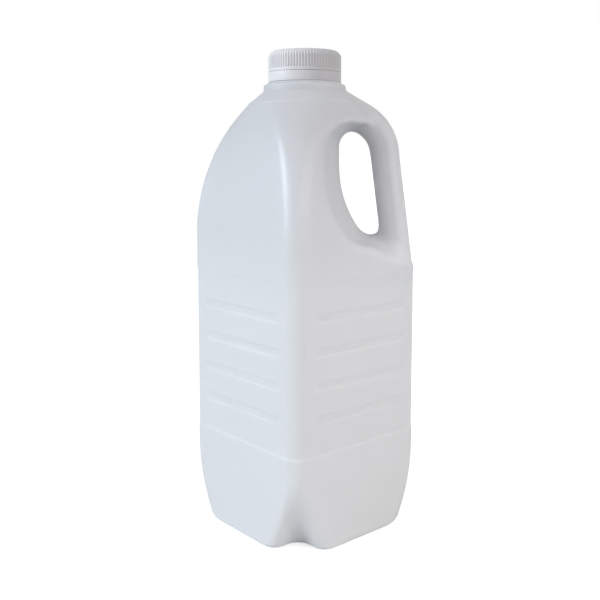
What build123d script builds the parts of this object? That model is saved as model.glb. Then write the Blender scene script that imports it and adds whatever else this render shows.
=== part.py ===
"""Milk bottle of about 1.9 litres, with a moulded-in handle and a ribbed, tamper-evident screw cap.

Millimetres, +Z up. The origin is on the neck's axis, in the plane that the bottle stands on.
The body is square in plan and turned 45 degrees about the neck, so its corners point along X
and Y. The handle takes up the +X corner, and the mould's parting plane is Y = 0.
"""

import os
from math import cos, radians, sin, sqrt

from build123d import *

# Blow-moulded body
body_width = 96.8  # across opposite faces
corner_radius = 9.6  # of the upright corners
wall = 0.8
neck_wall = 1.9
base_height = 48  # below this the body curves in towards the base
base_inset = 1.2  # how far each face has come in at the base
base_corner_inset = 8.0  # and each corner, measured from the axis
base_steps = 5  # sections lofted into that curve
foot_radius = 2.5  # rolled edge round the underside
foot_angles = (0, 45, 90)  # sections lofted into the roll
shoulder_height = 172  # above this the square turns into a circle
crease_height = 248.6  # ring where the shoulder meets the neck's cone
crease_radius = 31.6
crease_ridge = 0.5  # how far the ring stands out
crease_width = 0.6
shoulder_steps = 8
roundest = 0.995  # largest corner radius of a section, as a share of its half width

# Label panel and its rows of grooves
panel_bottom = 57.3
panel_top = 151.8
panel_depth = 0.55
groove_length = 67.6
groove_width = 4.2
groove_depth = 0.9
groove_pitch = 18.5
groove_rows = 4

# Underside
recess_width = 58
recess_depth = 6
recess_taper = 25
notch_width = 40  # of the square notches cut into the -Y and +Y corners
notch_corner = 2.0
notch_bottom = -6.2
notch_bottom_reach = 36.2  # from the axis to the notch's inner corner, there
notch_top = 36  # above this the notch is clear of the body
notch_top_reach = 67.2

# Handle, measured in the parting plane
handle_depth = 16.6  # from the finger hole to the back of the hand
handle_width = 21  # across the parting plane
handle_corner = 7.4
handle_bend = 26
handle_top = (15, 251)
handle_knee = (44.8, 233.7)
handle_foot = (55.1, 154)
handle_draft = 8  # degrees, of the walls that face the handle
crown_right = (30.5, 233.6)  # finger hole, from the top round towards the body and down
crown_middle = (23.2, 230.6)
crown_left = (20.1, 222)
side_bottom = (20.5, 210)
cheek_bottom = (31, 177.4)
hole_bottom = (40, 171.8)
clearance_low = 155.5  # heights between which the corner gives way to the handle
clearance_high = 238

# Neck
collar_radius = 23.8
collar_bottom = 255.5
collar_top = 258.8
collar_bevel = 0.5
ledge_radius = 21.2  # where the collar's hollow upper side meets the underside of the band
ledge_top = 260.2
neck_radius = 17.9
neck_top = 275.7
bead_radius = 20.0
bead_bottom = 263.2
bead_height = 1.4
neck_sunk = 4  # the neck starts this far below the crease
neck_inset = 2  # and this far inside it
bore_sunk = 6  # the bore starts below that, open to the body
bore_inset = 4
bore_drop = 2  # of the bore's lower edge, below the collar's top
hollow_rise = 1  # of the hollow under the collar, above its foot
past_face = 1  # how far a cut runs past the face that it opens

# Screw thread, one right-hand start
thread_pitch = 3.2
thread_depth = 1.0
thread_root = 1.7  # width at the root
thread_crest = 0.8
neck_thread_bottom = 267.0
neck_thread_turns = 1.5
cap_thread_bottom = neck_thread_bottom + thread_pitch / 2
cap_thread_turns = 1.25
thread_clearance = 0.5  # between a crest and the opposite wall

# Cap
cap_radius = 20.75  # between the ribs
rim_radius = 21.1
rim_height = 1.7
cap_top = 278.2
cap_bottom = 266.1
cap_thickness = 1.4
cap_edge = 3.6
rib_count = 80
rib_depth = 0.35
rib_width = 0.8
rib_top = 275.2
liner_thickness = cap_top - cap_thickness - neck_top
liner_gap = 0.3  # between the liner and the cap round it
liner_edge = 0.25

# Tamper band
band_radius = 21.1
band_bottom = 260.4
band_top = 265.55
band_bore = 20.4
band_bevel = 0.6
hook_bore = 19.2
hook_height = 1.6
hook_lead = 0.6
bridge_count = 12
bridge_height = 0.45
bridge_width = 1.0

half_width = body_width / 2
corner_reach = half_width * sqrt(2) - corner_radius * (sqrt(2) - 1)
far = 80  # a length that passes outside the whole bottle


def arc_drop(height, full_drop):
    """How far an arc that starts upright at the shoulder has come in at a height."""
    rise = crease_height - shoulder_height
    radius = (rise**2 + full_drop**2) / (2 * full_drop)
    return radius - sqrt(radius**2 - (height - shoulder_height) ** 2)


def corner_rounding(face, corner):
    """Corner radius that puts a rounded square's faces and corners at these distances from the axis."""
    return (face * sqrt(2) - corner) / (sqrt(2) - 1)


def shoulder_section(height):
    """Half width and corner radius of the shoulder, whose corners come in more than its faces."""
    face = half_width - arc_drop(height, half_width - crease_radius)
    corner = corner_reach - arc_drop(height, corner_reach - crease_radius)
    return face, min(corner_rounding(face, corner), roundest * face)


def base_section(height):
    """Half width and corner radius near the base, whose corners also come in more."""
    curl = (1 - height / base_height) ** 2
    face = half_width - base_inset * curl
    return face, corner_rounding(face, corner_reach - base_corner_inset * curl)


def section_sketch(height, face, radius):
    """The body's plan at a height, with its corners on X and Y."""
    with BuildSketch(Plane.XY.offset(height)) as plan:
        RectangleRounded(2 * face, 2 * face, radius, rotation=45)
    return plan.sketch


def tower(inset):
    """The square body from the base to the crease ring, without its handle."""
    foot_top = foot_radius + inset
    with BuildPart() as form:
        for angle in foot_angles:
            height = foot_top - foot_radius * cos(radians(angle))
            roll = foot_radius * (1 - sin(radians(angle)))
            face, radius = base_section(height)
            add(section_sketch(height, face - roll - inset, radius - roll - inset))
        loft(ruled=True)
        for step in range(base_steps):
            height = foot_top + (base_height - foot_top) * step / (base_steps - 1)
            face, radius = base_section(height)
            add(section_sketch(height, face - inset, radius - inset))
        loft()
        add(section_sketch(base_height, half_width - inset, corner_radius - inset))
        extrude(amount=shoulder_height - base_height)
        for step in range(shoulder_steps + 1):
            share = step / shoulder_steps
            height = shoulder_height + (crease_height - shoulder_height) * share
            face, radius = shoulder_section(height)
            add(section_sketch(height - inset * share, face - inset, radius - inset))
        loft()
    return form.part


def hand_clearance(inset):
    """What the corner loses round the handle: the finger hole, open towards the outside."""
    with BuildPart() as form:
        with BuildSketch(Plane.XZ):
            with BuildLine():
                crown = ThreePointArc(crown_right, crown_middle, crown_left)
                side = Line(crown @ 1, side_bottom)
                cheek = TangentArc(side @ 1, cheek_bottom, tangent=side % 1)
                heel = TangentArc(cheek @ 1, hole_bottom, tangent=cheek % 1)
                ramp_end = (corner_reach, clearance_low)
                Polyline(heel @ 1, ramp_end, (far, clearance_low), (far, clearance_high), crown @ 0)
            make_face()
            if inset:
                offset(amount=inset)
        extrude(amount=far, taper=-handle_draft)
        mirror(about=Plane.XZ)
    return form.part


def handle(inset):
    """The hollow tube of the handle, from the neck's cone down into the body."""
    with BuildPart() as form:
        with BuildLine(Plane.XZ) as path:
            FilletPolyline(handle_top, handle_knee, handle_foot, radius=handle_bend)
        start = path.line
        with BuildSketch(Plane(origin=start @ 0, z_dir=start % 0, x_dir=(0, 1, 0))):
            tube_width = handle_width - 2 * inset
            tube_depth = handle_depth - 2 * inset
            RectangleRounded(tube_width, tube_depth, handle_corner - inset)
        sweep(path=path.line)
    return form.part


def sculpt(inset):
    """Everything that dents the body: the label panel, its grooves, the notches and the base."""
    with BuildPart() as form:
        panel_height = panel_top - panel_bottom + 2 * inset
        panel_half = half_width - panel_depth - inset
        with BuildSketch(Plane.XY.offset(panel_bottom - inset)):
            Rectangle(body_width + far, body_width + far, rotation=45)
            panel_corner = corner_radius - inset
            RectangleRounded(2 * panel_half, 2 * panel_half, panel_corner, rotation=45, mode=Mode.SUBTRACT)
        extrude(amount=panel_height)
        for turn in (45, 135, 225, 315):
            outward = Vector(cos(radians(turn)), sin(radians(turn)), 0)
            middle = outward * panel_half + Vector(0, 0, (panel_bottom + panel_top) / 2)
            face = Plane(origin=middle, x_dir=outward.cross(Vector(0, 0, -1)), z_dir=outward)
            with BuildSketch(face):
                with GridLocations(0, groove_pitch, 1, groove_rows):
                    SlotOverall(groove_length + 2 * inset, groove_width + 2 * inset)
            extrude(amount=-groove_depth)
        to_centre = notch_width / sqrt(2) - notch_corner * (sqrt(2) - 1)
        for side in (-1, 1):
            for height, reach in (
                (notch_bottom, notch_bottom_reach),
                (notch_top, notch_top_reach),
            ):
                with BuildSketch(Plane.XY.offset(height)):
                    with Locations((0, side * (reach + to_centre))):
                        width = notch_width + 2 * inset
                        RectangleRounded(width, width, notch_corner + inset, rotation=45)
            loft()
        with BuildSketch(Plane.XY):
            width = recess_width + 2 * inset
            RectangleRounded(width, width, corner_radius, rotation=45)
        extrude(amount=recess_depth + inset, taper=recess_taper)
    return form.part


def neck_solid():
    """The outside of the neck: cone, collar, bead and mouth, with nothing bored out."""
    with BuildPart() as form:
        with BuildSketch(Plane.XZ):
            with BuildLine():
                Polyline(
                    (0, crease_height - neck_sunk),
                    (crease_radius - neck_inset, crease_height - neck_sunk),
                    (crease_radius - neck_inset, crease_height - crease_width / 2),
                    (crease_radius + crease_ridge, crease_height - crease_width / 2),
                    (crease_radius + crease_ridge, crease_height + crease_width / 2),
                    (collar_radius, collar_bottom),
                    (collar_radius, collar_top - collar_bevel),
                    (collar_radius - collar_bevel, collar_top),
                    (ledge_radius + collar_bevel, collar_top + collar_bevel),
                    (ledge_radius, ledge_top),
                    (neck_radius, ledge_top),
                    (neck_radius, bead_bottom),
                    (bead_radius, bead_bottom),
                    (neck_radius, bead_bottom + bead_height),
                    (neck_radius, neck_top),
                    (0, neck_top),
                    close=True,
                )
            make_face()
        revolve(axis=Axis.Z)
    return form.part


def neck_bore():
    """The bore of the neck, opening out under the collar to the inside of the cone."""
    bore = neck_radius - neck_wall
    with BuildPart() as form:
        with BuildSketch(Plane.XZ):
            with BuildLine():
                Polyline(
                    (0, crease_height - bore_sunk),
                    (crease_radius - bore_inset, crease_height - bore_sunk),
                    (crease_radius - wall, crease_height - wall / 2),
                    (collar_radius - wall, collar_bottom - wall / 2),
                    (collar_radius - 2 * wall, collar_bottom + hollow_rise),
                    (bore, collar_top - bore_drop),
                    (bore, neck_top + past_face),
                    (0, neck_top + past_face),
                    close=True,
                )
            make_face()
        revolve(axis=Axis.Z)
    return form.part


def thread(radius, height, turns, outward):
    """One start of screw thread whose root is sunk a little into a wall of the given radius."""
    side = 1 if outward else -1
    sink = 0.2
    with BuildPart() as form:
        with BuildLine():
            helix = Helix(thread_pitch, thread_pitch * turns, radius, center=(0, 0, height))
        with BuildSketch(Plane(origin=helix @ 0, x_dir=(side, 0, 0), z_dir=helix % 0)):
            with BuildLine():
                Polyline(
                    (-sink, -thread_root / 2),
                    (thread_depth, -thread_crest / 2),
                    (thread_depth, thread_crest / 2),
                    (-sink, thread_root / 2),
                    close=True,
                )
            make_face()
        sweep(path=helix, is_frenet=True)
    return form.part


body_outside = tower(0)
hand_outside = hand_clearance(0)
handle_outside = handle(0)
dents_outside = sculpt(0)
body_inside = tower(wall)
hand_inside = hand_clearance(wall)
handle_inside = handle(wall)
dents_inside = sculpt(wall)
neck_outside = neck_solid()
neck_inside = neck_bore()
neck_thread = thread(neck_radius, neck_thread_bottom, neck_thread_turns, outward=True)

with BuildPart() as milk_space:
    add(body_inside)
    add(hand_inside, mode=Mode.SUBTRACT)
    add(dents_inside, mode=Mode.SUBTRACT)
    add(handle_inside)
    add(neck_inside)

with BuildPart() as bottle_body:
    add(body_outside)
    add(hand_outside, mode=Mode.SUBTRACT)
    add(dents_outside, mode=Mode.SUBTRACT)
    add(handle_outside)
    add(neck_outside)
    add(milk_space.part, mode=Mode.SUBTRACT)
    add(neck_thread)

cap_wall = neck_radius + thread_depth + thread_clearance
with BuildPart() as screw_cap:
    with BuildSketch(Plane.XY.offset(cap_bottom)):
        Circle(cap_radius)
    extrude(amount=cap_top - cap_bottom)
    fillet(screw_cap.edges().sort_by(Axis.Z)[-1], cap_edge)
    with BuildSketch(Plane.XY.offset(cap_bottom)):
        Circle(rim_radius)
    extrude(amount=rim_height)
    with BuildSketch(Plane.XY.offset(cap_bottom + rim_height)):
        with PolarLocations(cap_radius, rib_count):
            RectangleRounded(2 * rib_depth, rib_width, rib_depth / 2)
    extrude(amount=rib_top - cap_bottom - rim_height)
    with BuildSketch(Plane.XY.offset(cap_bottom)):
        Circle(cap_wall)
    extrude(amount=neck_top + liner_thickness - cap_bottom, mode=Mode.SUBTRACT)
    add(thread(cap_wall, cap_thread_bottom, cap_thread_turns, outward=False))

with BuildPart() as cap_liner:
    with BuildSketch(Plane.XY.offset(neck_top)):
        Circle(cap_wall - liner_gap)
    extrude(amount=liner_thickness)
    fillet(cap_liner.edges(), liner_edge)

with BuildPart() as tamper_band:
    with BuildSketch(Plane.XZ):
        with BuildLine():
            Polyline(
                (hook_bore + hook_lead, band_bottom),
                (band_radius - band_bevel, band_bottom),
                (band_radius, band_bottom + band_bevel),
                (band_radius, band_top),
                (band_bore, band_top),
                (band_bore, band_bottom + hook_height + hook_lead),
                (hook_bore, band_bottom + hook_height),
                close=True,
            )
        make_face()
    revolve(axis=Axis.Z)
    with BuildSketch(Plane.XY.offset(band_top)):
        with PolarLocations((band_radius + band_bore) / 2, bridge_count):
            Rectangle(band_radius - band_bore, bridge_width)
    extrude(amount=bridge_height)

os.makedirs("parts", exist_ok=True)
bottle_body.part.label = "bottle_body"
export_step(bottle_body.part, "parts/bottle_body.step")
screw_cap.part.label = "screw_cap"
export_step(screw_cap.part, "parts/screw_cap.step")
cap_liner.part.label = "cap_liner"
export_step(cap_liner.part, "parts/cap_liner.step")
tamper_band.part.label = "tamper_band"
export_step(tamper_band.part, "parts/tamper_band.step")
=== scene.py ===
"""Looks of the handled milk bottle: blown body, ribbed cap, tamper band and liner.

Shapes are worked out in millimetres, in the CAD model's frame, and turned into metres when a
mesh is made. The body is the zero surface of one smooth field, so every corner, groove and
root of the handle has the soft radius that blow moulding gives.
"""

import itertools
import math

import bpy
import bmesh
import numpy as np
from mathutils import Matrix, Vector


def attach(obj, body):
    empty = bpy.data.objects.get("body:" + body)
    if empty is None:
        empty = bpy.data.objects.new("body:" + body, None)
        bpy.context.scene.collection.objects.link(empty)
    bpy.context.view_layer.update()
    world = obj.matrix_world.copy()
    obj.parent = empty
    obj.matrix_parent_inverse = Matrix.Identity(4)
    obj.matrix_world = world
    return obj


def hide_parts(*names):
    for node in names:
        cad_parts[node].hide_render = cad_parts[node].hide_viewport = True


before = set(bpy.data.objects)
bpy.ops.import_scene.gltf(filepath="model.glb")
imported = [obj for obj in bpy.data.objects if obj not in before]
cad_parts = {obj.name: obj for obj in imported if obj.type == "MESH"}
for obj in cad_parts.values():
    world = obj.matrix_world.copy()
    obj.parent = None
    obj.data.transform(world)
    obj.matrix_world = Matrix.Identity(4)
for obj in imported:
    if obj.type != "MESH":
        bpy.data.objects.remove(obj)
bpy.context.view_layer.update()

MM = 0.001
SQRT2 = math.sqrt(2)
TINY = 1e-9  # a length too small to matter, which also keeps divisions from meeting zero
SAME = 1e-3  # lengths closer than this are the same

# ---------------------------------------------------------------- driving sizes, in mm

BODY_WIDTH = 96.8
CORNER_RADIUS = 9.6
WALL = 0.8
BASE_HEIGHT = 48.0
BASE_INSET = 1.2
BASE_CORNER_INSET = 8.0
FOOT_ROLL = 3.0
SHOULDER = 172.0
CREASE = 248.6
CREASE_RADIUS = 31.6
CREASE_RIDGE = 0.45
RIDGE_SPREAD = 0.7
FIELD_TOP = 260.0
OUTER_STEPS = (1.35, 0.75)  # grid step of the outer skin, and its step up and down in the fine zones
INNER_STEPS = (3.0, 2.4)
UPWARD_STEP = 1.3  # how much longer the plain step is up and down than across
PANEL_ZONE = 1.5  # how far a fine zone reaches past each edge of the panel, and below the crease
GROOVE_ZONE = 2.6
SIDE_MARGIN = 2.5  # steps of the grid past the body's faces
FOOT_MARGIN = 1.6  # and below its foot
PROBE = 0.05  # how far to each side the field is read, to measure its slope
SETTLING_PASSES = 8  # moves of each vertex on to the field's surface
LEAST_STEEPNESS = 0.05  # squared slope below which a move is held back
LEAN_SPAN = 3.0  # up and down from a height, to read how steeply the wall leans there
LEAN_LIMIT = 2.0

PANEL = (57.3, 151.8)
PANEL_DEPTH = 0.28
PANEL_STEP = 1.5
GROOVE_LENGTH = 67.6
GROOVE_WIDTH = 4.2
GROOVE_DEPTH = 0.33
GROOVE_EDGE = 1.5
GROOVE_PITCH = 18.5
GROOVE_ROWS = 4

RECESS_WIDTH = 58.0
RECESS_DEPTH = 6.0
RECESS_TAPER = math.radians(25)
RECESS_CORNER = 8.0
RECESS_EDGE = 3.0
RECESS_RIM = 2.4
NOTCH_WIDTH = 40.0
NOTCH_CORNER = 8.0
NOTCH_LEAN = 0.89  # turns a distance measured level into one across the leaning notch
NOTCH_HEIGHTS = (-6.2, 36.0)
NOTCH_REACHES = (36.6, 68.2)
NOTCH_EDGE = 8.0

HANDLE_DEPTH = 16.6
HANDLE_WIDTH = 21.0
HANDLE_CORNER = 7.4
HANDLE_BEND = 26.0
HANDLE_PATH = ((15.0, 251.0), (44.8, 233.7), (55.1, 154.0))
HAND_DRAFT = math.radians(8)
HAND_FILLET = 3.5
HAND_TOP = 238.0
HAND_FOOT = 155.5
FAR_OUT = 90.0  # an x outside the whole bottle
ARC_STEPS = 10  # segments of the arcs beside and below the finger hole
CROWN_STEPS = 12
BEND_STEPS = 14
CROWN = ((30.5, 233.6), (23.2, 230.6), (20.1, 222.0))
SIDE_BOTTOM = (20.5, 210.0)
CHEEK_BOTTOM = (31.0, 177.4)
HOLE_BOTTOM = (40.0, 171.8)
ROOT_FILLET = 9.0
TIGHT_FILLET = 1.5
ROOT_SIDE = (4.0, 8.0)  # how far outside the handle's line the root tightens, and over what width
ROOT_TOP = (-6.0, 12.0)  # the same for height, from HAND_TOP
HANDLE_REGION = (-5.0, 130.0)  # the handle is worked out only past this x and above this z

COLLAR_RADIUS = 23.8
LEDGE_RADIUS = 21.2
LEDGE_TOP = 260.2
NECK_RADIUS = 17.9
NECK_BORE = 16.0
NECK_TOP = 275.7
MOUTH_ROUNDING = 0.5
NECK_SEGMENTS = 144
NECK_ROW = 0.25  # height of a row of the mesh along the neck's thread
BEAD = (263.2, 264.6)
BEAD_RADIUS = 20.0
THREAD_PITCH = 3.2
THREAD_DEPTH = 1.0
THREAD_FOOT = 0.85  # half the thread's width at its foot
THREAD_FLANK = 0.45  # how much narrower than that the crest is, on each side
THREAD_RISE = 12  # the thread rises from nothing, at each end, in one turn divided by this
THREAD_BOTTOM = 267.0
THREAD_MARGIN = 0.8  # kept clear at each end of the rows that carry a thread
THREAD_TURNS = 1.5
CAP_THREAD_TURNS = 1.25

CAP_RADIUS = 20.75
CAP_RIM = 21.1
RIM_HEIGHTS = (1.5, 1.7)  # of the rim's upper edge and of where it meets the wall, above its foot
CAP_TOP = 278.2
CAP_BOTTOM = 266.1
CAP_EDGE = 3.6
CAP_BORE = 19.4
CAP_CEILING = 276.8
RIB_COUNT = 80
RIB_DEPTH = 0.35
RIB_VALLEY = 0.2
RIBBED_RADII = (CAP_RADIUS - 1.2, CAP_RADIUS + 0.01)  # parts of the outline that the ribs run over
RIB_SEGMENTS = 10  # vertices round the cap for each rib
RIB_SHARE = 0.35  # raises the wave that makes the ribs, which widens their feet
RIB_FLANK = 0.95  # how much of the raised wave a rib takes to reach its full depth
RIB_HEIGHTS = (1.75, 1.4)  # where the ribs begin above the cap's bottom and end below its top
RIB_FADES = (0.4, 1.6)  # heights over which they rise and die away there
RIB_ENDS = (0.4, 2.2)  # even rows run from this far below the rounded edge to this far above the foot
CROWN_HUB = 0.6  # radius of the innermost ring of the crown, inside and out
CROWN_DISH = 0.25  # how far the crown's flat lies below its rim
CROWN_EDGE = (15.6, 16.2)  # radii between which the crown rises to its rim
GATE_RADIUS = 1.4  # of the dimple that the moulding gate leaves in the middle
GATE_DEPTH = 0.55  # of its lowest point, below the cap's top
CAP_ROW = 0.3  # height of a row of the mesh along the cap's thread
RIB_ROW = 1.2  # the same along the ribs

BAND_RADIUS = 21.1
BAND_BOTTOM = 260.4
BAND_TOP = 265.95
BAND_BORE = 20.4
HOOK_BORE = 19.2
HOOK_HEIGHT = 1.6
HOOK_LEAD = 0.6
BRIDGE_COUNT = 12
BRIDGE_HEIGHT = 0.1
BRIDGE_WIDTH = 1.0
BRIDGE_SUNK = 0.1  # how far a stub reaches down into the band
BRIDGE_SHARE = 0.8  # thickness of a stub, as a share of the band's
BAND_SEGMENTS = 240
SHARP_EDGE = math.radians(32)  # cap and band are shaded smooth across every edge less sharp than this

HALF = BODY_WIDTH / 2
CORNER_REACH = HALF * SQRT2 - CORNER_RADIUS * (SQRT2 - 1)
LOWEST_GROOVE = (PANEL[0] + PANEL[1]) / 2 - GROOVE_PITCH * (GROOVE_ROWS - 1) / 2

# Round part above the shoulder, as (height, radius)
NECK_OUTSIDE = (
    (CREASE, CREASE_RADIUS),
    (255.1, COLLAR_RADIUS + 0.1),
    (255.5, COLLAR_RADIUS),
    (258.3, COLLAR_RADIUS),
    (258.8, COLLAR_RADIUS - 0.5),
    (259.2, LEDGE_RADIUS + 0.6),
    (259.8, LEDGE_RADIUS),
    (FIELD_TOP, LEDGE_RADIUS),
)
NECK_INSIDE = (
    (CREASE - 0.8, CREASE_RADIUS - WALL),
    (255.1, COLLAR_RADIUS - WALL),
    (256.5, COLLAR_RADIUS - 2 * WALL),
    (257.2, NECK_BORE),
    (FIELD_TOP, NECK_BORE),
)


# ---------------------------------------------------------------- the body's field


def smooth_max(a, b, reach):
    """The larger of two fields, with the edge between them rounded over about reach."""
    blend = np.maximum(reach - np.abs(a - b), 0) / reach
    return np.maximum(a, b) + blend * blend * reach / 4


def smooth_min(a, b, reach):
    """The smaller of two fields, with the corner between them filleted over about reach."""
    return -smooth_max(-a, -b, reach)


def ramp(z, middle, width):
    """0 below middle, 1 above it, with a smooth step of the given width."""
    t = np.clip((z - middle) / width + 0.5, 0, 1)
    return t * t * (3 - 2 * t)


def arc_drop(z, full_drop):
    """How far the shoulder's arc, upright where it starts, has come in at a height."""
    rise = CREASE - SHOULDER
    radius = (rise**2 + full_drop**2) / (2 * full_drop)
    above = np.clip(z - SHOULDER, 0, rise)
    return radius - np.sqrt(radius**2 - above**2)


def crease_ridge(z):
    """How far the ring round the crease stands out at a height."""
    return CREASE_RIDGE * np.exp(-(((z - CREASE) / RIDGE_SPREAD) ** 2))


def neck_profile(z, inside):
    """Radius of the round part above the shoulder, outside or inside the wall."""
    heights, radii = zip(*(NECK_INSIDE if inside else NECK_OUTSIDE))
    radius = np.interp(z, heights, radii)
    return radius if inside else radius + crease_ridge(z)


def section(z, inside):
    """Half width and corner radius of the body's plan at a height."""
    curl = np.clip(1 - z / BASE_HEIGHT, 0, 1) ** 2
    half = HALF - BASE_INSET * curl - arc_drop(z, HALF - CREASE_RADIUS)
    corner = CORNER_REACH - BASE_CORNER_INSET * curl - arc_drop(z, CORNER_REACH - CREASE_RADIUS)
    radius = (half * SQRT2 - corner) / (SQRT2 - 1)
    inset = WALL if inside else 0.0
    window = ramp(z, PANEL[0] - inset, PANEL_STEP) - ramp(z, PANEL[1] + inset, PANEL_STEP)
    half = half - PANEL_DEPTH * window - inset
    radius = radius - inset
    ridge = crease_ridge(z) * (not inside)
    neck = z > (CREASE - inset)
    round_neck = neck_profile(z, inside)
    half_width = np.where(neck, round_neck, half + ridge)
    corner_radius = np.where(neck, round_neck, np.minimum(radius, half) + ridge)
    return half_width, corner_radius


def groove_dent(u, v, z, spread):
    """Depth of the rows of grooves, each a long pill with a flat bottom, on all four faces."""
    along = np.where(np.abs(u) > np.abs(v), v, u)
    row = np.clip(np.round((z - LOWEST_GROOVE) / GROOVE_PITCH), 0, GROOVE_ROWS - 1)
    radius = GROOVE_WIDTH / 2 + spread
    beyond = np.maximum(np.abs(along) - (GROOVE_LENGTH - GROOVE_WIDTH) / 2, 0)
    away = np.hypot(beyond, z - LOWEST_GROOVE - row * GROOVE_PITCH)
    return GROOVE_DEPTH * (1 - ramp(away, radius, GROOVE_EDGE))


def arc_points(centre, start, end, count):
    """Points on the arc about centre from one point round to another, the short way."""
    a0 = math.atan2(start[1] - centre[1], start[0] - centre[0])
    a1 = math.atan2(end[1] - centre[1], end[0] - centre[0])
    turn = (a1 - a0 + math.pi) % (2 * math.pi) - math.pi
    r0 = math.dist(centre, start)
    return [
        (centre[0] + r0 * math.cos(a0 + turn * i / count), centre[1] + r0 * math.sin(a0 + turn * i / count))
        for i in range(1, count + 1)
    ]


def tangent_arc(start, direction, end):
    """Points on the arc that leaves start along direction and reaches end, and its last direction."""
    d = Vector(direction).normalized()
    chord = Vector(end) - Vector(start)
    normal = Vector((-d.y, d.x))
    radius = chord.length_squared / (2 * chord.dot(normal))
    centre = Vector(start) + normal * radius
    spoke = Vector(end) - centre
    leaving = Vector((-spoke.y, spoke.x)) * math.copysign(1, radius)
    return arc_points(centre, start, end, ARC_STEPS), leaving


def circle_centre(a, b, c):
    """Centre of the circle through three points."""
    twice = 2 * (a.x * (b.y - c.y) + b.x * (c.y - a.y) + c.x * (a.y - b.y))
    sq = [p.length_squared for p in (a, b, c)]
    x = (sq[0] * (b.y - c.y) + sq[1] * (c.y - a.y) + sq[2] * (a.y - b.y)) / twice
    y = (sq[0] * (c.x - b.x) + sq[1] * (a.x - c.x) + sq[2] * (b.x - a.x)) / twice
    return x, y


def hand_outline():
    """Outline, in the parting plane, of the finger hole and all that lies outside the handle."""
    centre = circle_centre(*(Vector(p) for p in CROWN))
    crown = arc_points(centre, CROWN[0], CROWN[2], CROWN_STEPS)
    downward = Vector(SIDE_BOTTOM) - Vector(CROWN[2])
    cheek, leaving = tangent_arc(SIDE_BOTTOM, downward, CHEEK_BOTTOM)
    heel = tangent_arc(CHEEK_BOTTOM, leaving, HOLE_BOTTOM)[0]
    outside = [(CORNER_REACH, HAND_FOOT), (FAR_OUT, HAND_FOOT), (FAR_OUT, HAND_TOP)]
    return [CROWN[0], *crown, SIDE_BOTTOM, *cheek, *heel, *outside]


def line_distance(x, y, points):
    """Distance to an open run of points."""
    nearest = np.full(x.shape, np.inf)
    for (ax, ay), (bx, by) in zip(points, points[1:]):
        ex, ey = bx - ax, by - ay
        wx, wy = x - ax, y - ay
        t = np.clip((wx * ex + wy * ey) / (ex * ex + ey * ey), 0, 1)
        nearest = np.minimum(nearest, (wx - t * ex) ** 2 + (wy - t * ey) ** 2)
    return np.sqrt(nearest)


def polygon_distance(x, y, points):
    """Signed distance to a closed outline, negative inside."""
    closed = points + points[:1]
    sign = np.ones(x.shape)
    for (ax, ay), (bx, by) in zip(closed, closed[1:]):
        left = (bx - ax) * (y - ay) - (by - ay) * (x - ax)
        crosses = ((ay <= y) & (by > y) & (left > 0)) | ((ay > y) & (by <= y) & (left < 0))
        sign = np.where(crosses, -sign, sign)
    return line_distance(x, y, closed) * sign


def handle_line():
    """The middle line of the handle: two straight runs joined by a tangent arc."""
    start, knee, foot = (Vector(p) for p in HANDLE_PATH)
    into, out = (start - knee).normalized(), (foot - knee).normalized()
    half_angle = into.angle(out) / 2
    setback = HANDLE_BEND / math.tan(half_angle)
    first, last = knee + into * setback, knee + out * setback
    centre = knee + (into + out).normalized() * HANDLE_BEND / math.sin(half_angle)
    bend = arc_points(tuple(centre), tuple(first), tuple(last), BEND_STEPS)
    return [tuple(start), tuple(first), *bend, tuple(foot)]


HAND_OUTLINE = hand_outline()
HANDLE_LINE = handle_line()


def rounded_box(across, along, half_across, half_along, radius):
    """Signed distance to a rounded rectangle, from distances along its two directions."""
    qa = np.abs(across) - (half_across - radius)
    qb = np.abs(along) - (half_along - radius)
    return np.hypot(np.maximum(qa, 0), np.maximum(qb, 0)) + np.minimum(np.maximum(qa, qb), 0) - radius


def add_handle(field, x, y, z, inset):
    """Cuts the finger hole from the body's field near the handle, and joins the handle to it."""
    hand = polygon_distance(x, z, HAND_OUTLINE) - np.abs(y) * math.tan(HAND_DRAFT)
    hand = (hand - inset) * math.cos(HAND_DRAFT)
    carved = smooth_max(field, -hand, HAND_FILLET)
    half_depth, half_width = HANDLE_DEPTH / 2 - inset, HANDLE_WIDTH / 2 - inset
    away = line_distance(x, z, HANDLE_LINE)
    tube = rounded_box(away, y, half_depth, half_width, HANDLE_CORNER - inset)
    knee, foot = HANDLE_PATH[1], HANDLE_PATH[2]
    middle = knee[0] + (knee[1] - z) * (foot[0] - knee[0]) / (knee[1] - foot[1])
    past_line = ramp(x, middle + ROOT_SIDE[0], ROOT_SIDE[1])
    past_top = ramp(z, HAND_TOP + ROOT_TOP[0], ROOT_TOP[1])
    soft = (1 - past_line) * (1 - past_top)
    return smooth_min(carved, tube, TIGHT_FILLET + (ROOT_FILLET - TIGHT_FILLET) * soft)


def recess_field(u, v, z, inset):
    """Negative inside the pushed-up middle of the underside."""
    half = RECESS_WIDTH / 2 - z * math.tan(RECESS_TAPER) + inset
    recess = rounded_box(u, v, half, half, RECESS_CORNER) * math.cos(RECESS_TAPER)
    return smooth_max(recess, z - RECESS_DEPTH - inset, RECESS_EDGE)


def notch_field(u, v, z, side, inset):
    """Negative inside the square notch, which leans outward as it rises, of one corner on the Y axis."""
    share = (z - NOTCH_HEIGHTS[0]) / (NOTCH_HEIGHTS[1] - NOTCH_HEIGHTS[0])
    reach = NOTCH_REACHES[0] + (NOTCH_REACHES[1] - NOTCH_REACHES[0]) * share
    middle = (reach - NOTCH_CORNER * (SQRT2 - 1)) / SQRT2 + NOTCH_WIDTH / 2
    half = NOTCH_WIDTH / 2 + inset
    return NOTCH_LEAN * rounded_box(side * u - middle, side * v - middle, half, half, NOTCH_CORNER + inset)


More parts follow.
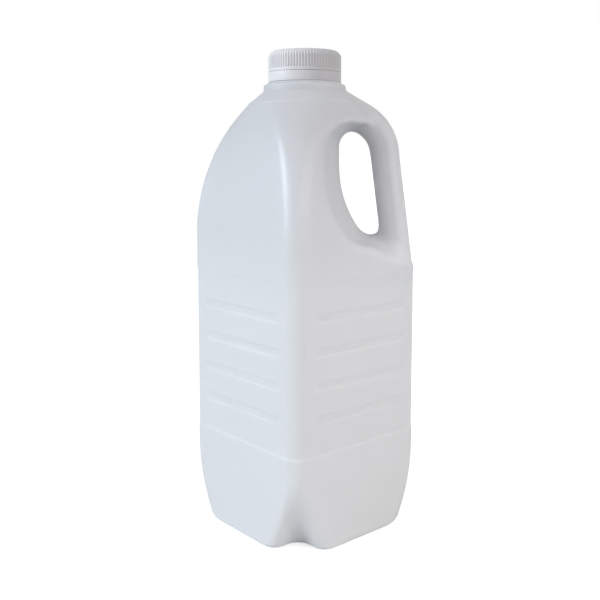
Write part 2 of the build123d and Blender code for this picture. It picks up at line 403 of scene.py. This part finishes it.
def body_field(x, y, z, inside=False):
    """Negative inside the bottle's outer skin, or inside its inner one."""
    inset = WALL if inside else 0.0
    u, v = (x + y) / SQRT2, (y - x) / SQRT2
    half, radius = section(z, inside)
    rise = section(z + LEAN_SPAN, inside)[0] - section(z - LEAN_SPAN, inside)[0]
    lean = np.sqrt(1 + np.clip(rise / (2 * LEAN_SPAN), -LEAN_LIMIT, LEAN_LIMIT) ** 2)
    field = rounded_box(u, v, half, half, radius) / lean
    field = field + groove_dent(u, v, z, inset) * (z < PANEL[1]) * (z > PANEL[0])

    near = (x > HANDLE_REGION[0]) & (z > HANDLE_REGION[1])
    field[near] = add_handle(field[near], x[near], y[near], z[near], inset)
    side = np.where(y > 0, 1.0, -1.0)
    field = smooth_max(field, -notch_field(u, v, z, side, inset), NOTCH_EDGE)
    field = smooth_max(field, inset - z, FOOT_ROLL)
    return smooth_max(field, -recess_field(u, v, z, inset), RECESS_RIM)


# ---------------------------------------------------------------- meshing


def spaced(start, end, step, fine_zones=(), fine_step=None):
    """Places along a grid's axis with the given step, closer together inside the fine zones."""
    places = [start]
    while places[-1] < end - TINY:
        last = places[-1]
        in_zone = any(low - step <= last <= high for low, high in fine_zones)
        places.append(min(last + (fine_step if in_zone else step), end))
    return np.array(places)


def surface_net(values, axes):
    """Vertices and quads where a gridded field is zero, one vertex to each cell it passes through."""
    cells = tuple(n - 1 for n in values.shape)
    total, count = np.zeros((*cells, 3)), np.zeros(cells)
    crossings = []

    # A cell's vertex is the mean of the places where the surface crosses the cell's edges.
    for axis in range(3):
        low = np.take(values, range(values.shape[axis] - 1), axis)
        high = np.take(values, range(1, values.shape[axis]), axis)
        crossing = (low < 0) != (high < 0)
        share = np.where(crossing, low / np.where(crossing, low - high, 1), 0)
        crossings.append((crossing, low < 0))
        others = [a for a in range(3) if a != axis]
        for corner in itertools.product((0, 1), repeat=2):
            cut = [slice(None)] * 3
            for other, offset in zip(others, corner):
                cut[other] = slice(offset, offset + cells[other])
            hit, part = crossing[tuple(cut)], share[tuple(cut)]
            count += hit
            for a in range(3):
                shape = [1, 1, 1]
                shape[a] = cells[a]
                if a == axis:
                    step = np.diff(axes[a]).reshape(shape)
                    place = axes[a][:-1].reshape(shape) + part * step
                else:
                    offset = corner[others.index(a)]
                    place = axes[a][offset : offset + cells[a]].reshape(shape)
                total[..., a] += np.where(hit, place, 0)
    active = count > 0
    index = np.full(cells, -1)
    index[active] = np.arange(active.sum())
    points = total[active] / count[active][:, None]

    # Each edge that is crossed gives one quad, through the vertices of the four cells round it.
    quads = []
    for axis, (crossing, low_inside) in enumerate(crossings):
        others = [a for a in range(3) if a != axis]
        inner = [slice(None)] * 3
        for other in others:
            inner[other] = slice(1, -1)
        at = np.argwhere(crossing[tuple(inner)])
        if not len(at):
            continue
        for other in others:
            at[:, other] += 1
        ring = []
        for back in ((1, 1), (0, 1), (0, 0), (1, 0)):
            cell = at.copy()
            for other, step in zip(others, back):
                cell[:, other] -= step
            ring.append(index[tuple(cell.T)])
        ring = np.stack(ring, 1)
        outward = low_inside[tuple(at.T)] ^ (axis == 1)
        quads.append(np.where(outward[:, None], ring, ring[:, ::-1]))
    return points, np.concatenate(quads)


def turned_back(vectors):
    """Vectors given along the faces' directions u and v, turned back to X and Y."""
    u, v, z = vectors.T
    return np.stack([(u - v) / SQRT2, (u + v) / SQRT2, z], 1)


def lengths(vectors):
    """Length of each vector, kept above zero."""
    return np.maximum(np.linalg.norm(vectors, axis=1), TINY)


def skin(inside, step, fine_step):
    """One skin of the body: its vertices on the field's surface, its quads and its normals."""
    zones = [(edge - PANEL_ZONE, edge + PANEL_ZONE) for edge in PANEL]
    zones.append((CREASE - PANEL_ZONE, FIELD_TOP))
    for row in range(GROOVE_ROWS):
        middle = LOWEST_GROOVE + row * GROOVE_PITCH
        zones.append((middle - GROOVE_ZONE, middle + GROOVE_ZONE))
    across = spaced(-HALF - SIDE_MARGIN * step, HALF + SIDE_MARGIN * step, step)
    heights = spaced(-FOOT_MARGIN * step, FIELD_TOP, step * UPWARD_STEP, zones, fine_step)
    u, v, z = np.meshgrid(across, across, heights, indexing="ij")

    def at(u, v, z):
        return body_field((u - v) / SQRT2, (u + v) / SQRT2, z, inside)

    points, quads = surface_net(at(u, v, z), (across, across, heights))
    rim = points[:, 2] > heights[-2]
    for _ in range(SETTLING_PASSES):
        value = at(*points.T)
        slopes = []
        for probe in PROBE * np.eye(3):
            slopes.append((at(*(points + probe).T) - at(*(points - probe).T)) / (2 * PROBE))
        slope = np.stack(slopes, 1)
        steepness = np.maximum((slope**2).sum(1), LEAST_STEEPNESS)
        move = -(value / steepness)[:, None] * slope
        move *= np.minimum(1, step / lengths(move))[:, None]
        points = points + move
        points[rim, 2] = FIELD_TOP
    facing = turned_back(slope / lengths(slope)[:, None])
    if inside:
        return turned_back(points), quads[:, ::-1], -facing
    return turned_back(points), quads, facing


def lathe(profile, segments, shift=None):
    """Rings of vertices about Z from (radius, height) pairs, with shift moving each radius."""
    angles = np.arange(segments) * 2 * np.pi / segments
    rows = []
    for place, (radius, height) in enumerate(profile):
        moved = radius + (shift(place, angles, height) if shift else 0)
        rows.append(np.stack([moved * np.cos(angles), moved * np.sin(angles), np.full(segments, height)], 1))
    return rows


def add_rings(bm, rows, closed=False):
    """Puts rings of vertices in a mesh and joins each to the next with quads."""
    rings = [[bm.verts.new(p * MM) for p in row] for row in rows]
    pairs = list(zip(rings, rings[1:])) + ([(rings[-1], rings[0])] if closed else [])
    count = len(rows[0])
    for lower, upper in pairs:
        for i in range(count):
            j = (i + 1) % count
            bm.faces.new((lower[i], lower[j], upper[j], upper[i]))
    return rings


def finish_mesh(bm, name):
    """Makes an object from a bmesh, shaded smooth but for its sharp edges."""
    mesh = bpy.data.meshes.new(name)
    bmesh.ops.recalc_face_normals(bm, faces=bm.faces)
    bm.to_mesh(mesh)
    bm.free()
    mesh.shade_smooth()
    mesh.set_sharp_from_angle(angle=SHARP_EDGE)
    made = bpy.data.objects.new(name, mesh)
    bpy.context.collection.objects.link(made)
    return made


def rounded_profile(corners, steps):
    """A (radius, height) outline through corners given as (radius, height, rounding)."""
    points = []
    for i, (r, h, rounding) in enumerate(corners):
        if not rounding:
            points.append((r, h))
            continue
        here = Vector((r, h))
        back = (Vector(corners[i - 1][:2]) - here).normalized()
        on = (Vector(corners[(i + 1) % len(corners)][:2]) - here).normalized()
        half_angle = back.angle(on) / 2
        setback = rounding / math.tan(half_angle)
        centre = here + (back + on).normalized() * rounding / math.sin(half_angle)
        first, last = here + back * setback, here + on * setback
        points.append(tuple(first))
        points += arc_points(tuple(centre), tuple(first), tuple(last), steps)
    return points


def thread_height(angles, height, bottom, turns):
    """How far a helical thread stands out at a height, from 0 to 1, running out at both ends."""
    risen = (height - bottom) / THREAD_PITCH
    lap = np.clip(np.round(risen - angles / (2 * np.pi)), 0, math.ceil(turns) - 1)
    along = lap + angles / (2 * np.pi)
    away = np.abs(risen - along) * THREAD_PITCH
    crest = np.clip((THREAD_FOOT - away) / THREAD_FLANK, 0, 1)
    run_out = np.clip(along * THREAD_RISE, 0, 1) * np.clip((turns - along) * THREAD_RISE, 0, 1)
    return crest * run_out


def dense(low, high, step):
    """Heights from low to high, about step apart."""
    return list(np.linspace(low, high, max(2, round((high - low) / step) + 1)))


# ---------------------------------------------------------------- pieces


def add_neck(bm):
    """Rings of the threaded neck, from the ledge up to the mouth and down the bore."""
    outline = rounded_profile(
        [
            (LEDGE_RADIUS, LEDGE_TOP, 0),
            (NECK_RADIUS, LEDGE_TOP, 0.3),
            (NECK_RADIUS, BEAD[0], 0.2),
            (BEAD_RADIUS, BEAD[0], 0.2),
            (NECK_RADIUS, BEAD[1], 0.4),
            (NECK_RADIUS, NECK_TOP, MOUTH_ROUNDING),
            (NECK_BORE, NECK_TOP, MOUTH_ROUNDING),
            (NECK_BORE, LEDGE_TOP, 0),
        ],
        4,
    )
    top = next(i for i, p in enumerate(outline) if p[1] > NECK_TOP - MOUTH_ROUNDING - SAME)
    threaded = dense(BEAD[1] + THREAD_MARGIN, NECK_TOP - THREAD_MARGIN, NECK_ROW)
    outline = outline[:top] + [(NECK_RADIUS, z) for z in threaded] + outline[top:]
    thread_rows = range(top, top + len(threaded))

    def shift(place, angles, height):
        if place not in thread_rows:
            return 0
        return THREAD_DEPTH * thread_height(angles, height, THREAD_BOTTOM, THREAD_TURNS)

    return add_rings(bm, lathe(outline, NECK_SEGMENTS, shift))


def bridge(bm, rim, ring):
    """Joins the open rim of a skin to a ring of the neck."""
    edges = set()
    for i, vert in enumerate(ring):
        after = ring[(i + 1) % len(ring)]
        edges.update(e for e in vert.link_edges if after in e.verts)
    bmesh.ops.bridge_loops(bm, edges=list(rim) + list(edges))


def make_body():
    """The blown bottle: outer and inner skins from the field, joined by the threaded neck."""
    bm = bmesh.new()
    normals = []
    rims = []
    for inside, steps in ((False, OUTER_STEPS), (True, INNER_STEPS)):
        points, quads, facing = skin(inside, *steps)
        verts = [bm.verts.new(p * MM) for p in points]
        for quad in quads:
            bm.faces.new([verts[i] for i in quad])
        normals.append(facing)
        bm.edges.ensure_lookup_table()
        rims.append([e for e in bm.edges if e.is_boundary and not any(e in r for r in rims)])
    rings = add_neck(bm)
    bm.edges.index_update()
    for rim, ring in zip(rims, (rings[0], rings[-1])):
        bridge(bm, rim, ring)
    smooth = np.concatenate(normals)
    bm.verts.index_update()
    mesh = bpy.data.meshes.new("bottle_body_skin")
    bm.to_mesh(mesh)
    bm.free()
    mesh.shade_smooth()
    everywhere = np.zeros((len(mesh.vertices), 3))
    everywhere[: len(smooth)] = smooth
    mesh.normals_split_custom_set_from_vertices(everywhere.tolist())
    body = bpy.data.objects.new("bottle_body_skin", mesh)
    bpy.context.collection.objects.link(body)
    return body


def last_at(outline, radius, low, high):
    """Number of the last point of an outline that is at a radius and between two heights."""
    return max(i for i, (r, z) in enumerate(outline) if abs(r - radius) < SAME and low < z < high)


def make_cap():
    """The ribbed cap: one closed mesh with its crown, ribs, rim and inner thread."""
    outline = rounded_profile(
        [
            (CROWN_HUB, CAP_TOP - 2 * CROWN_DISH, 0),
            (GATE_RADIUS, CAP_TOP - CROWN_DISH, 0),
            (CROWN_EDGE[0], CAP_TOP - CROWN_DISH, 0.2),
            (CROWN_EDGE[1], CAP_TOP, 0.2),
            (CAP_RADIUS, CAP_TOP, CAP_EDGE),
            (CAP_RADIUS, CAP_BOTTOM + RIM_HEIGHTS[1], 0.15),
            (CAP_RIM, CAP_BOTTOM + RIM_HEIGHTS[0], 0.2),
            (CAP_RIM, CAP_BOTTOM, 0.1),
            (CAP_BORE, CAP_BOTTOM, 0.3),
            (CAP_BORE, CAP_CEILING, 0.3),
            (CROWN_HUB, CAP_CEILING, 0),
        ],
        6,
    )
    middle = (CAP_TOP + CAP_BOTTOM) / 2
    wall_top = last_at(outline, CAP_RADIUS, middle, CAP_TOP)
    ribbed = dense(CAP_TOP - CAP_EDGE - RIB_ENDS[0], CAP_BOTTOM + RIB_ENDS[1], RIB_ROW)
    outline = outline[: wall_top + 1] + [(CAP_RADIUS, z) for z in ribbed] + outline[wall_top + 1 :]
    bore_bottom = last_at(outline, CAP_BORE, CAP_BOTTOM, middle)
    threaded = dense(CAP_BOTTOM + THREAD_MARGIN, CAP_CEILING - THREAD_MARGIN, CAP_ROW)
    outline = outline[: bore_bottom + 1] + [(CAP_BORE, z) for z in threaded] + outline[bore_bottom + 1 :]

    def shift(place, angles, height):
        if bore_bottom < place <= bore_bottom + len(threaded):
            lowest = THREAD_BOTTOM + THREAD_PITCH / 2
            return -THREAD_DEPTH * thread_height(angles, height, lowest, CAP_THREAD_TURNS)
        if place > bore_bottom or not RIBBED_RADII[0] < outline[place][0] < RIBBED_RADII[1]:
            return 0
        ridge = np.clip((np.cos(RIB_COUNT * angles) + RIB_SHARE) / RIB_FLANK, 0, 1)
        fade_in = np.clip((height - CAP_BOTTOM - RIB_HEIGHTS[0]) / RIB_FADES[0], 0, 1)
        fade_out = np.clip((CAP_TOP - RIB_HEIGHTS[1] - height) / RIB_FADES[1], 0, 1)
        return (RIB_DEPTH * ridge - RIB_VALLEY * (1 - ridge)) * fade_in * fade_out

    bm = bmesh.new()
    rings = add_rings(bm, lathe(outline, RIB_COUNT * RIB_SEGMENTS, shift))
    for ring, height in ((rings[0], CAP_TOP - GATE_DEPTH), (rings[-1], CAP_CEILING)):
        hub = bm.verts.new((0, 0, height * MM))
        for a, b in zip(ring, ring[1:] + ring[:1]):
            bm.faces.new((a, b, hub))
    return finish_mesh(bm, "screw_cap_shell")


def make_band():
    """The tamper band, with its inner hook and the stubs of its broken bridges."""
    outline = rounded_profile(
        [
            (HOOK_BORE + HOOK_LEAD, BAND_BOTTOM, 0.1),
            (BAND_RADIUS, BAND_BOTTOM, 0.3),
            (BAND_RADIUS, BAND_TOP, 0.08),
            (BAND_BORE, BAND_TOP, 0.12),
            (BAND_BORE, BAND_BOTTOM + HOOK_HEIGHT + HOOK_LEAD, 0.2),
            (HOOK_BORE, BAND_BOTTOM + HOOK_HEIGHT, 0.2),
        ],
        4,
    )
    bm = bmesh.new()
    add_rings(bm, lathe(outline, BAND_SEGMENTS), closed=True)
    middle = (BAND_RADIUS + BAND_BORE) / 2
    thickness = (BAND_RADIUS - BAND_BORE) * BRIDGE_SHARE
    tall = BRIDGE_HEIGHT + BRIDGE_SUNK
    size = Matrix.Diagonal((thickness * MM, BRIDGE_WIDTH * MM, tall * MM, 1))
    height = BAND_TOP + (BRIDGE_HEIGHT - BRIDGE_SUNK) / 2
    place = Matrix.Translation((middle * MM, 0, height * MM))
    for i in range(BRIDGE_COUNT):
        turn = Matrix.Rotation(2 * math.pi * i / BRIDGE_COUNT, 4, "Z")
        bmesh.ops.create_cube(bm, size=1, matrix=turn @ place @ size)
    return finish_mesh(bm, "tamper_band_ring")


body = make_body()
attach(body, "bottle")
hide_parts("bottle_body")
cap = make_cap()
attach(cap, "cap")
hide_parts("screw_cap")
band = make_band()
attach(band, "band")
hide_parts("tamper_band")


# ---------------------------------------------------------------- materials

BODY_CLOUDS = ((0.91, 0.912, 0.94), (0.935, 0.937, 0.96))
BODY_FLOW = (0.95, 0.955, 0.965)
# Painted shade: a darker colour for the upper body, standing in for the less light that falls on it.
BODY_PAINTED_SHADE = (0.715, 0.715, 0.73)
PAINTED_SHADE_HEIGHTS = (0.135, 0.235)  # heights, in metres, between which the body turns to its painted shade colour, a darkening of the upper part that stands in for less light falling there
BODY_CLEARNESS = 0.25  # share of the material that transmits light instead of scattering it
CLOSURE_WHITES = ((0.73, 0.70, 0.71), (0.78, 0.75, 0.76))
LINER_WHITES = ((0.80, 0.80, 0.78), (0.86, 0.86, 0.84))
MIX_COLOUR_INPUTS = (6, 7)  # sockets of a Mix node that carry colours, which share their names with others
MIX_COLOUR_OUTPUT = 2


def new_material(name):
    """A material with only a Principled shader, and its nodes and links."""
    material = bpy.data.materials.new(name)
    material.use_nodes = True
    tree = material.node_tree
    shader = tree.nodes["Principled BSDF"]
    return material, tree, shader


def noise(tree, scale, detail, roughness, stretch=(1, 1, 1)):
    """A noise texture in object space, in cycles to the metre."""
    place = tree.nodes.new("ShaderNodeTexCoord")
    mapping = tree.nodes.new("ShaderNodeMapping")
    mapping.inputs["Scale"].default_value = stretch
    texture = tree.nodes.new("ShaderNodeTexNoise")
    texture.inputs["Scale"].default_value = scale
    texture.inputs["Detail"].default_value = detail
    texture.inputs["Roughness"].default_value = roughness
    tree.links.new(place.outputs["Object"], mapping.inputs["Vector"])
    tree.links.new(mapping.outputs["Vector"], texture.inputs["Vector"])
    return texture.outputs["Fac"]


def ramp_node(tree, value, low, high, from_min=0.3, from_max=0.7):
    """A value spread between two limits."""
    node = tree.nodes.new("ShaderNodeMapRange")
    node.inputs["From Min"].default_value = from_min
    node.inputs["From Max"].default_value = from_max
    node.inputs["To Min"].default_value = low
    node.inputs["To Max"].default_value = high
    tree.links.new(value, node.inputs["Value"])
    return node.outputs["Result"]


def mix_colour(tree, value, first, second):
    """A colour between two, by a value."""
    node = tree.nodes.new("ShaderNodeMix")
    node.data_type = "RGBA"
    tree.links.new(value, node.inputs["Factor"])
    for number, colour in zip(MIX_COLOUR_INPUTS, (first, second)):
        if isinstance(colour, tuple):
            node.inputs[number].default_value = (*colour, 1)
        else:
            tree.links.new(colour, node.inputs[number])
    return node.outputs[MIX_COLOUR_OUTPUT]


def bumps(tree, shader, layers):
    """Chains bump layers, each a (height, distance in metres, strength)."""
    last = None
    for height, distance, strength in layers:
        node = tree.nodes.new("ShaderNodeBump")
        node.inputs["Distance"].default_value = distance
        node.inputs["Strength"].default_value = strength
        tree.links.new(height, node.inputs["Height"])
        if last:
            tree.links.new(last, node.inputs["Normal"])
        last = node.outputs["Normal"]
    tree.links.new(last, shader.inputs["Normal"])


def translucent(shader, weight, depth):
    """Lets light through a thin wall, evenly in all colours."""
    shader.inputs["Subsurface Weight"].default_value = weight
    shader.inputs["Subsurface Radius"].default_value = (1, 1, 1)
    shader.inputs["Subsurface Scale"].default_value = depth


def natural_polyethylene():
    """Milky blown HDPE: cloudy, satin and streaked where it flowed, with painted shade that darkens it
    toward the neck.
    """
    material, tree, shader = new_material("bottle_natural")
    cloud = noise(tree, scale=22, detail=4, roughness=0.55)
    flow = noise(tree, scale=60, detail=3, roughness=0.5, stretch=(1, 1, 0.12))
    base = mix_colour(tree, ramp_node(tree, cloud, 0, 1), *BODY_CLOUDS)
    base = mix_colour(tree, ramp_node(tree, flow, 0, 0.3), base, BODY_FLOW)
    place = tree.nodes.new("ShaderNodeTexCoord")
    split = tree.nodes.new("ShaderNodeSeparateXYZ")
    tree.links.new(place.outputs["Object"], split.inputs["Vector"])
    # Painted shade: the colour darkens between two heights toward the neck, standing in for the less light
    # that falls on the upper part.
    upward = ramp_node(tree, split.outputs["Z"], 0, 1, *PAINTED_SHADE_HEIGHTS)
    base = mix_colour(tree, upward, base, BODY_PAINTED_SHADE)
    tree.links.new(base, shader.inputs["Base Color"])
    grain = noise(tree, scale=1500, detail=2, roughness=0.6)
    satin = noise(tree, scale=90, detail=4, roughness=0.6)
    rough = ramp_node(tree, satin, 0.30, 0.42)
    tree.links.new(rough, shader.inputs["Roughness"])
    shader.inputs["IOR"].default_value = 1.54
    translucent(shader, 1.0, 0.0015)
    shader.inputs["Transmission Weight"].default_value = BODY_CLEARNESS
    waves = noise(tree, scale=35, detail=2, roughness=0.5)
    bumps(tree, shader, [(waves, 0.0006, 0.35), (grain, 0.00003, 0.5)])
    return material


def white_closure(name, low, high):
    """White polyethylene of the closure, faintly mottled and scuffed."""
    material, tree, shader = new_material(name)
    mottle = noise(tree, scale=120, detail=4, roughness=0.6)
    base = mix_colour(tree, ramp_node(tree, mottle, 0, 1), low, high)
    tree.links.new(base, shader.inputs["Base Color"])
    scuffs = noise(tree, scale=260, detail=4, roughness=0.6)
    rough = ramp_node(tree, scuffs, 0.36, 0.52)
    tree.links.new(rough, shader.inputs["Roughness"])
    shader.inputs["IOR"].default_value = 1.52
    translucent(shader, 0.3, 0.0008)
    grain = noise(tree, scale=2200, detail=2, roughness=0.6)
    bumps(tree, shader, [(grain, 0.00002, 0.5)])
    return material


def dress(piece, material):
    """Gives a piece one material."""
    piece.data.materials.clear()
    piece.data.materials.append(material)


dress(body, natural_polyethylene())
dress(cap, white_closure("cap_white", *CLOSURE_WHITES))
dress(band, white_closure("band_white", *CLOSURE_WHITES))
dress(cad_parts["cap_liner"], white_closure("liner_foam", *LINER_WHITES))


# ---------------------------------------------------------------- studio

CAMERA_DISTANCE, CAMERA_HEIGHT = 0.4973, 0.2220  # metres, from the bottle's axis and from the floor
CAMERA_TURN, CAMERA_TILT, CAMERA_PAN = 4.108, 6.532, 0.313  # degrees
CAMERA_LENS, CAMERA_SENSOR = 50.65, 36  # mm
CAMERA_SHIFT = -0.09
FLOOR_RADIUS = 30  # metres
FLOOR_DROP = 0.0002  # metres below the plane that the bottle stands on
FLOOR_GREY = 0.68
FLOOR_GLOW = 0.62
WORLD_LIGHT = 0.57


def seen(tree):
    """1 where a surface is seen, straight or through the bottle, and 0 where it only gives light."""
    rays = tree.nodes.new("ShaderNodeLightPath")
    either = tree.nodes.new("ShaderNodeMath")
    either.operation = "MAXIMUM"
    tree.links.new(rays.outputs["Is Camera Ray"], either.inputs[0])
    tree.links.new(rays.outputs["Is Transmission Ray"], either.inputs[1])
    return either.outputs["Value"]


def make_floor():
    """A wide pale floor that looks as bright as the backdrop, but throws less light upward."""
    bm = bmesh.new()
    bmesh.ops.create_circle(bm, cap_ends=True, radius=FLOOR_RADIUS, segments=128)
    mesh = bpy.data.meshes.new("floor")
    bm.to_mesh(mesh)
    bm.free()
    floor = bpy.data.objects.new("floor", mesh)
    bpy.context.collection.objects.link(floor)
    floor.location.z = -FLOOR_DROP
    material, tree, shader = new_material("floor")
    shader.inputs["Base Color"].default_value = (FLOOR_GREY, FLOOR_GREY, FLOOR_GREY, 1)
    shader.inputs["Roughness"].default_value = 0.9
    shader.inputs["Specular IOR Level"].default_value = 0.1
    shader.inputs["Emission Color"].default_value = (1, 1, 1, 1)
    glow = ramp_node(tree, seen(tree), 0, FLOOR_GLOW, 0, 1)
    tree.links.new(glow, shader.inputs["Emission Strength"])
    floor.data.materials.append(material)
    return floor


def make_sun(name, power, angle, colour, source):
    """A soft sun that shines from a direction, with the given angle across in degrees."""
    data = bpy.data.lights.new(name, "SUN")
    data.energy = power
    data.angle = math.radians(angle)
    data.color = colour
    sun = bpy.data.objects.new(name, data)
    sun.rotation_mode = "QUATERNION"
    sun.rotation_quaternion = (-Vector(source)).to_track_quat("-Z", "Y")
    bpy.context.collection.objects.link(sun)
    return sun


def make_world():
    """An even soft light, with a white backdrop seen behind the bottle and through it."""
    world = bpy.data.worlds.new("studio")
    world.use_nodes = True
    tree = world.node_tree
    tree.nodes["Background"].inputs["Color"].default_value = (1, 1, 1, 1)
    tree.nodes["Background"].inputs["Strength"].default_value = WORLD_LIGHT
    backdrop = tree.nodes.new("ShaderNodeBackground")
    backdrop.inputs["Color"].default_value = (1, 1, 1, 1)
    mix = tree.nodes.new("ShaderNodeMixShader")
    tree.links.new(seen(tree), mix.inputs["Fac"])
    tree.links.new(tree.nodes["Background"].outputs["Background"], mix.inputs[1])
    tree.links.new(backdrop.outputs["Background"], mix.inputs[2])
    tree.links.new(mix.outputs["Shader"], tree.nodes["World Output"].inputs["Surface"])
    bpy.context.scene.world = world


def make_camera():
    """The camera stands before the near corner, a little to its right, and looks slightly down."""
    data = bpy.data.cameras.new("camera")
    data.sensor_width = CAMERA_SENSOR
    data.lens = CAMERA_LENS
    data.shift_y = CAMERA_SHIFT
    camera = bpy.data.objects.new("camera", data)
    turn, tilt = math.radians(CAMERA_TURN), math.radians(CAMERA_TILT)
    camera.location = (CAMERA_DISTANCE * math.sin(turn), -CAMERA_DISTANCE * math.cos(turn), CAMERA_HEIGHT)
    turn += math.radians(CAMERA_PAN)
    look = Vector((-math.sin(turn) * math.cos(tilt), math.cos(turn) * math.cos(tilt), -math.sin(tilt)))
    camera.rotation_mode = "QUATERNION"
    camera.rotation_quaternion = look.to_track_quat("-Z", "Y")
    bpy.context.collection.objects.link(camera)
    bpy.context.scene.camera = camera


make_camera()
floor = make_floor()
make_world()
make_sun("key", power=2.05, angle=30, colour=(0.76, 0.88, 1.0), source=(-0.88, -0.30, 0.36))
fill = make_sun("fill", power=1.45, angle=60, colour=(1.0, 0.98, 0.985), source=(0.72, -0.62, 0.30))
# The fill leaves out the whole closure, so that the right side of cap and band stays dark.
lit = bpy.data.collections.new("lit_by_fill")
lit.objects.link(body)
lit.objects.link(floor)
fill.light_linking.receiver_collection = lit
bpy.context.scene.view_settings.view_transform = "Standard"
